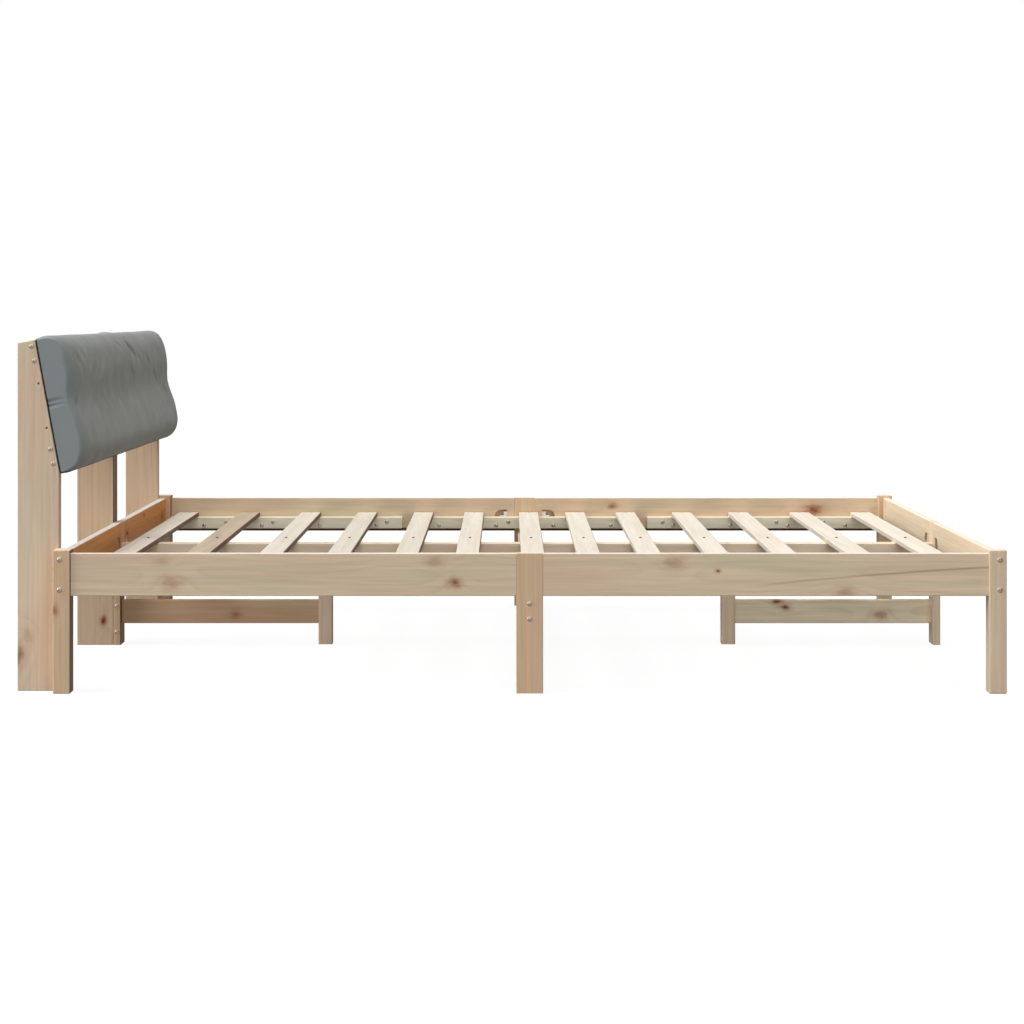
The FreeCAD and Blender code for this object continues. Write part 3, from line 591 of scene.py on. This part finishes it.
bright_steel = steel("bright_steel", linear(216, 210, 200), 0.35)
plain_steel = steel("plain_steel", linear(150, 135, 124), 0.26)
dark_steel = steel("dark_steel", linear(62, 54, 46), 0.6)
STEELS = {
    "joint_studs": bright_steel, "clamp_plates": bright_steel, "stud_nuts": bright_steel,
    "barrel_nuts": bright_steel, "leg_bolts": plain_steel, "cleat_screws": plain_steel,
    "back_screws": plain_steel, "frame_screws": plain_steel, "slat_screws": dark_steel,
}
for name, material in STEELS.items():
    dress(name, material)
print("groups of fasteners:", len(STEELS))

# %% [markdown]
# ## The cushion's form
# A foam slab in a sewn cover is fullest along two long swellings and drawn in between them,
# where the cover is pulled back. Its section is drawn once, carried along the bed in steps
# and drawn in at the rims, where the waist is shallower. Air pressure in a cloth simulation
# then rounds it and pulls the cover tight, which looks softer than a bevel could.

# %% Where the backrest leans
# The lean's angle, and the height in metres at which the uprights' front edges start to lean.
# They start where the uprights' box ends towards the foot.
LEAN = math.radians(10.45)
LEAN_HEIGHT = 0.477
LEAN_START = Vector((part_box("upright_outer_right")[1].x, 0, LEAN_HEIGHT))
UP_LEAN = Vector((-math.sin(LEAN), 0, math.cos(LEAN)))
OUT_LEAN = Vector((math.cos(LEAN), 0, math.sin(LEAN)))
HALF_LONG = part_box("cushion")[1].y
print("the lean starts at", tuple(round(place, 4) for place in LEAN_START))


def on_lean(up, out, along):
    """A point on the backrest, from its height up the lean, its reach out and its place along."""
    return LEAN_START + UP_LEAN * up + OUT_LEAN * out + Vector((0, along, 0))


def lean_place(point):
    """Height up the lean and reach out of a point."""
    away = Vector(point) - LEAN_START
    return away.dot(UP_LEAN), away.dot(OUT_LEAN)


# %% [markdown]
# The section is a closed outline of a few points, because a subdivision rounds it later. At
# the ends its waist is filled, as the cover's end panel holds it out there.

# %% The section and its steps
# Points of the section in millimetres: place up the lean, reach out from it, and the reach
# that it has at both ends of the cushion, where the waist is shallow.
SECTION = [(-12, -5, -5), (60, -5, -5), (140, -5, -5), (220, -5, -5), (299, -5, -5), (300, 8, 8),
           (300, 20, 20), (297, 34, 35), (289, 45, 47), (274, 52, 55), (258, 57, 58),
           (240, 60, 59), (211, 61, 58), (186, 57, 55), (158, 51, 51), (133, 50, 52),
           (103, 56, 56), (77, 60, 58), (51, 62, 57), (34, 62, 55), (18, 58, 50), (3, 50, 42),
           (-6, 40, 31), (-11, 25, 18), (-14, 6, 4)]
# Steps from the near end to the middle: share of the half length, share that is taken of the
# end's section, and millimetres by which the rim draws in. The far end keeps a deeper waist.
NEAR_STEPS = [(-0.9985, 1, 6.5), (-0.9965, 1, 3.5), (-0.991, 0.95, 1.4), (-0.978, 0.88, 0.3),
              (-0.94, 0.6, 0), (-0.86, 0.2, 0), (-0.7, 0, 0), (-0.4, 0, 0), (0, 0, 0)]
FAR_SHARE = 0.4
FAR_STEPS = [(-share, at_end * FAR_SHARE, drawn)
             for share, at_end, drawn in reversed(NEAR_STEPS[:-1])]
MILLIMETRE = 0.001
MIDDLE_UP = 143
MIDDLE_OUT = 50


def section_at(share, at_end, drawn):
    """The points of the section at one step along the cushion."""
    points = []
    for up, out, end_out in SECTION:
        inset = drawn * (MIDDLE_UP - up) / MIDDLE_UP
        reach = out + (end_out - out) * at_end - drawn * max(0, out) / MIDDLE_OUT
        points.append(on_lean((up + inset) * MILLIMETRE, reach * MILLIMETRE, share * HALF_LONG))
    return points


# %% [markdown]
# A first ring of points is extruded once for each step, and each new ring is moved onto its
# section. The rings stay joined by faces that way, and only the two end caps are left to fill.

# %% Carry the section along the bed
def carried(form, ring, loop, points):
    """Extrude the last ring and move the new one onto its points."""
    grown = bmesh.ops.extrude_edge_only(form, edges=loop)["geom"]
    loop = [part for part in grown if isinstance(part, bmesh.types.BMEdge)
            and all(vert not in ring for vert in part.verts)]
    number_of = {}
    for edge in loop:
        for vert in edge.verts:
            number_of[vert] = min(range(len(ring)), key=lambda i: (ring[i].co - vert.co).length)
    for vert, number in number_of.items():
        vert.co = points[number]
    return sorted(number_of, key=number_of.get), loop


form = bmesh.new()
steps = [section_at(*step) for step in NEAR_STEPS + FAR_STEPS]
ring = [form.verts.new(point) for point in steps[0]]
loop = [form.edges.new((ring[i - 1], ring[i])) for i in range(len(ring))]
bmesh.ops.contextual_create(form, geom=loop)
for points in steps[1:]:
    ring, loop = carried(form, ring, loop, points)
bmesh.ops.contextual_create(form, geom=loop)
bmesh.ops.recalc_face_normals(form, faces=form.faces)
shape = bpy.data.meshes.new("cushion_cover")
form.to_mesh(shape)
form.free()
cushion = bpy.data.objects.new("cushion_cover", shape)
bpy.context.scene.collection.objects.link(cushion)
print("cushion form:", len(shape.vertices), "points")

# %% [markdown]
# ## Air in the cover
# The form is turned into an even net of small faces, because cloth folds only where it has
# points, and is blown up a little. The cloth is cut a bit larger than the form, so that the
# air can fill it out. No point may move further than the cap.

# %% Blow up the cover
NET = 0.006
PRESSURE = 4
FRAMES = 20
CAP = 0.005
EXTRA_CLOTH = 0.02


def apply_all(piece):
    """Turn a piece's modifiers into its mesh."""
    depsgraph = bpy.context.evaluated_depsgraph_get()
    settled = bpy.data.meshes.new_from_object(piece.evaluated_get(depsgraph))
    piece.modifiers.clear()
    piece.data = settled


def subdivide(piece, levels):
    """Add a live subdivision that looks the same in the view and in the render."""
    finer = piece.modifiers.new("finer", "SUBSURF")
    finer.levels = levels
    finer.render_levels = levels


subdivide(cushion, 2)
net = cushion.modifiers.new("net", "REMESH")
net.mode = "VOXEL"
net.voxel_size = NET
apply_all(cushion)
before = [vert.co.copy() for vert in cushion.data.vertices]
cloth = cushion.modifiers.new("cloth", "CLOTH")
cloth.settings.use_pressure = True
cloth.settings.uniform_pressure_force = PRESSURE
cloth.settings.shrink_min = -EXTRA_CLOTH
cloth.settings.effector_weights.gravity = 0
cloth.point_cache.frame_start = 1
cloth.point_cache.frame_end = FRAMES
for step in range(1, FRAMES + 1):
    bpy.context.scene.frame_set(step)
apply_all(cushion)
for vert, start in zip(cushion.data.vertices, before):
    move = vert.co - start
    if move.length > CAP:
        vert.co = start + move.normalized() * CAP
print("cushion net:", len(cushion.data.vertices), "points")

# %% [markdown]
# ## Folds and creases
# The cover is drawn back at the waist, so it pulls short folds into the swellings above and
# below. Each fold is a shallow valley with a soft ridge beside it, and has its own slant. Two
# short creases also run across each end, at the height of the waist. A remesh would wipe all
# of these out, so they come after it, on a net that is made finer once more.

# %% How deep a fold is
# Each fold's place along the cushion, height up the lean, reach, depth and slant.
FOLDS = [
    (-0.637, 0.134, 0.014, 0.0060, 0.3), (0.028, 0.299, 0.012, -0.0030, 0.0),
    (-0.574, 0.232, 0.016, 0.0034, -0.6), (-0.510, 0.240, 0.018, 0.0026, -0.3),
    (-0.449, 0.226, 0.020, 0.0038, 0.3), (-0.396, 0.210, 0.016, 0.0030, 0.1),
    (-0.344, 0.200, 0.017, 0.0040, 0.6), (-0.275, 0.232, 0.012, 0.0018, 0.2),
    (-0.500, 0.142, 0.014, 0.0028, 0.8), (-0.414, 0.134, 0.018, 0.0040, 0.2),
    (-0.330, 0.138, 0.014, 0.0024, -0.4), (-0.239, 0.132, 0.016, 0.0034, 0.1),
    (-0.121, 0.130, 0.014, 0.0030, -0.2), (-0.040, 0.262, 0.014, 0.0022, -1.4),
    (0.107, 0.250, 0.020, 0.0040, -1.6), (0.087, 0.187, 0.014, 0.0034, -0.6),
    (0.200, 0.225, 0.016, 0.0022, -1.0), (0.330, 0.215, 0.014, 0.0022, -0.8),
    (0.434, 0.172, 0.016, 0.0034, -1.0), (0.500, 0.140, 0.012, 0.0026, 0.4),
    (0.574, 0.127, 0.013, 0.0034, -0.8), (0.520, 0.228, 0.014, 0.0020, 0.4)]
FOLD_WIDE = 0.015
FOLD_SPAN = 0.13
FOLD_REACHES = 3
RIDGE_STEP = 0.028
RIDGE_SHARE = 0.6


def bell(distance, width):
    """One at no distance, falling softly to nothing past twice the width."""
    return math.exp(-(distance / width) ** 2)


def fold_depth(along, up):
    """How far the cover lies inward at a place on the cushion's front."""
    depth = 0
    for place, height, reach, deep, slope in FOLDS:
        if abs(up - height) < FOLD_REACHES * reach and abs(along - place) < FOLD_SPAN:
            off = along - place - slope * (up - height)
            ridge = bell(off - RIDGE_STEP, FOLD_WIDE)
            depth += deep * bell(up - height, reach) * (bell(off, FOLD_WIDE) - RIDGE_SHARE * ridge)
    return depth


# %% [markdown]
# Air rounds the rims of the ends unevenly where the net's steps show, so they are smoothed
# over a narrow band. The rim at the back stays out of it, because it lies against the boards.

# %% Smooth the rims of both ends
END_BAND = 0.028
END_PASSES = 25
BACK_RIM = 0.004

subdivide(cushion, 1)
apply_all(cushion)
mesh = cushion.data
settling = bmesh.new()
settling.from_mesh(mesh)
rim = [vert for vert in settling.verts
       if abs(vert.co.y) > HALF_LONG - END_BAND and lean_place(vert.co)[1] > BACK_RIM]
for _ in range(END_PASSES):
    bmesh.ops.smooth_vert(settling, verts=rim, factor=0.5, use_axis_x=True, use_axis_y=True,
                          use_axis_z=True)
settling.to_mesh(mesh)
settling.free()
print("points smoothed at the ends:", len(rim))

# %% [markdown]
# A sewn end panel is flat, so points whose faces look sideways move onto one plane. Then the
# folds, the creases and a faint ripple are pressed in along the normals, and nothing is left
# behind the plane of the boards.

# %% Flatten the ends and press in the folds
# Heights of the creases up the lean, then their height, depth, place and reach out from it.
CREASES = (0.1425, 0.1525)
CREASE_HIGH = 0.0026
CREASE_DEEP = 0.0045
CREASE_OUT = 0.006
CREASE_LONG = 0.022
# A face is an end once it looks this much sideways, and wholly one after this much more.
END_TURN = 0.5
END_TURN_SPAN = 0.35
END_PLACE = HALF_LONG - 0.001
BACK_GAP = 0.0006
RIPPLE_DEEP = 0.0009
RIPPLE_ALONG = 6
RIPPLE_ACROSS = 20

normals = [vert.normal.copy() for vert in mesh.vertices]
for vert, normal in zip(mesh.vertices, normals):
    up, out = lean_place(vert.co)
    end = abs(normal.y)
    flat = max(0.0, min(1.0, (end - END_TURN) / END_TURN_SPAN))
    vert.co.y += (math.copysign(END_PLACE, vert.co.y) - vert.co.y) * flat
    inward = fold_depth(vert.co.y, up) * (1 - end)
    for place in CREASES:
        crease = bell(up - place, CREASE_HIGH) * flat * bell(out - CREASE_OUT, CREASE_LONG)
        inward += CREASE_DEEP * crease
    ripple = noise.noise(Vector((vert.co.y * RIPPLE_ALONG, up * RIPPLE_ACROSS,
                                 out * RIPPLE_ACROSS)))
    inward += RIPPLE_DEEP * ripple * (1 - end) * (1 - max(0.0, -normal.dot(OUT_LEAN)))
    vert.co -= normal * inward
    up, out = lean_place(vert.co)
    if out < BACK_GAP:
        vert.co += OUT_LEAN * (BACK_GAP - out)
for face in mesh.polygons:
    face.use_smooth = True
print("cushion cover:", len(mesh.polygons), "faces")

# %% [markdown]
# ## Grey fabric
# The cover is a short-napped, matt cloth. Nap scatters light at glancing angles, which the
# sheen does, and it lies a little unevenly, so the grey is lightly mottled. The ends are
# painted a bluer grey, a painted cooler light. The back rim and the underside are painted
# nearly black, a painted shade that shows as a thin line beside the uprights.

# %% Fabric
NAP_SCALE = 900
CLOUD_SCALE = 14
GREY = linear(165, 168, 164)
GREY_DEEP = linear(151, 154, 150)
# Painted cooler light on the ends.
GREY_PAINTED_END_LIGHT = linear(148, 155, 157)
# Painted shade on the back rim and the underside.
PAINTED_UNDER_SHADE = linear(38, 38, 40)
END_TONE_DEEP = 0.09
END_TONE_RIM = 0.002
# Where the painted shade of the back rim and underside starts and is full: reach out from the
# lean, and height up it, in metres.
UNDER_SHADE_OUT = (0.005, 0.003)
UNDER_SHADE_UP = (-0.002, -0.005)
# Between which values of their noises the cloud and the nap change the grey.
CLOUD_RANGE = (0.3, 0.7)
NAP_RANGE = dict(low=0.35, high=0.7, end=0.35)
NAP_RELIEF = 0.0006
NAP_STRENGTH = 0.5


def lean_line(graph, direction):
    """The way from the lean's start along a direction that has no part along the bed."""
    split = graph.object_axes()
    return ((split[X] - LEAN_START.x) * direction.x
            + (split[Z] - LEAN_START.z) * direction.z)


graph = Finish("grey_fabric")
nap = graph.noise(graph.object_place(), NAP_SCALE, detail=2.0, roughness=0.6)
cloud = graph.noise(graph.object_place(), CLOUD_SCALE, detail=3.0, roughness=0.6)
end_reach = graph.object_axes()[Y].math("ABSOLUTE")
end_share = graph.ramp(end_reach, HALF_LONG - END_TONE_DEEP, HALF_LONG - END_TONE_RIM)
colour = graph.blend(graph.ramp(cloud, *CLOUD_RANGE), GREY_DEEP, GREY)
# Painted cooler light on the ends.
colour = graph.blend(end_share, colour, GREY_PAINTED_END_LIGHT)
colour = graph.blend(graph.ramp(nap, **NAP_RANGE), colour, GREY_DEEP)
# Painted shade on the back rim and the underside.
colour = graph.blend(graph.ramp(lean_line(graph, OUT_LEAN), *UNDER_SHADE_OUT), colour, PAINTED_UNDER_SHADE)
colour = graph.blend(graph.ramp(lean_line(graph, UP_LEAN), *UNDER_SHADE_UP), colour, PAINTED_UNDER_SHADE)
graph.set(Base_Color=colour, Normal=graph.bump(nap, NAP_RELIEF, NAP_STRENGTH), Roughness=0.95,
          Specular_IOR_Level=0.15, Sheen_Weight=0.08, Sheen_Roughness=0.5)
cushion.data.materials.clear()
cushion.data.materials.append(graph.material)
print("fabric nodes:", len(graph.tree.nodes))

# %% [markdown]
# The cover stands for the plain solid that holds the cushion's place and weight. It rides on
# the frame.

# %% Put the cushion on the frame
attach(cushion, "root")
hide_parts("cushion")

# %% [markdown]
# ## The floor
# The floor is a plain grey that takes the bed's shadow. What the camera, a reflection or a
# view through glass sees of it is lifted almost to white, which adds no light to the bed.

# %% Floor
FLOOR_GLOW = 0.9
FLOOR_REACH = 14
FLOOR_GREY = (0.14, 0.14, 0.14, 1)
WHITE = (1, 1, 1, 1)

ground = bmesh.new()
bmesh.ops.create_grid(ground, x_segments=1, y_segments=1, size=FLOOR_REACH)
floor_mesh = bpy.data.meshes.new("floor")
ground.to_mesh(floor_mesh)
ground.free()
floor = bpy.data.objects.new("floor", floor_mesh)
bpy.context.scene.collection.objects.link(floor)
graph = Finish("floor")
graph.set(Base_Color=FLOOR_GREY, Roughness=0.9, Specular_IOR_Level=0)
glow = graph.node("ShaderNodeEmission", {}, {
    "Color": WHITE, "Strength": graph.seen() * FLOOR_GLOW})
lit = Value(graph, graph.shader.outputs[0])
both = graph.node("ShaderNodeAddShader", {}, {0: lit, 1: glow})
graph.feed(graph.tree.nodes["Material Output"].inputs["Surface"], both)
floor_mesh.materials.append(graph.material)
print("floor in metres:", 2 * FLOOR_REACH)

# %% [markdown]
# ## The light
# The light comes from the head end and from above, through wide sources, so tops and faces
# towards the head are bright, the long side is middling and faces towards the foot are dim. A
# wide sun has soft shadows and the same strength everywhere, which suits so long an object.

# %% Lamps
# Where each lamp shines from, its strength and its angular width in degrees.
LAMPS = {
    "overhead": ((-0.05, -0.06, 1.0), 1.95, 55),
    "head_side": ((-0.9, -0.12, 0.42), 2.4, 40),
    "front": ((0.2, -0.9, 0.36), 1.15, 60),
}
for name, (shines_from, strength, width) in LAMPS.items():
    lamp = bpy.data.lights.new(name, "SUN")
    lamp.energy = strength
    lamp.angle = math.radians(width)
    lamp_object = bpy.data.objects.new(name, lamp)
    lamp_object.rotation_euler = Vector(shines_from).to_track_quat("Z", "Y").to_euler()
    bpy.context.scene.collection.objects.link(lamp_object)
print("lamps:", len(LAMPS))

# %% [markdown]
# The room adds a little even light. Where it is seen directly or mirrored it is white.

# %% Room
AMBIENT = 0.09

world = bpy.data.worlds.new("room")
bpy.context.scene.world = world
world.use_nodes = True
room = Graph(world.node_tree)
background = room.tree.nodes["Background"]
background.inputs["Color"].default_value = WHITE
room.feed(background.inputs["Strength"], room.seen() * (1 - AMBIENT) + AMBIENT)
bpy.context.scene.view_settings.view_transform = "Standard"
print("even light of the room:", AMBIENT)
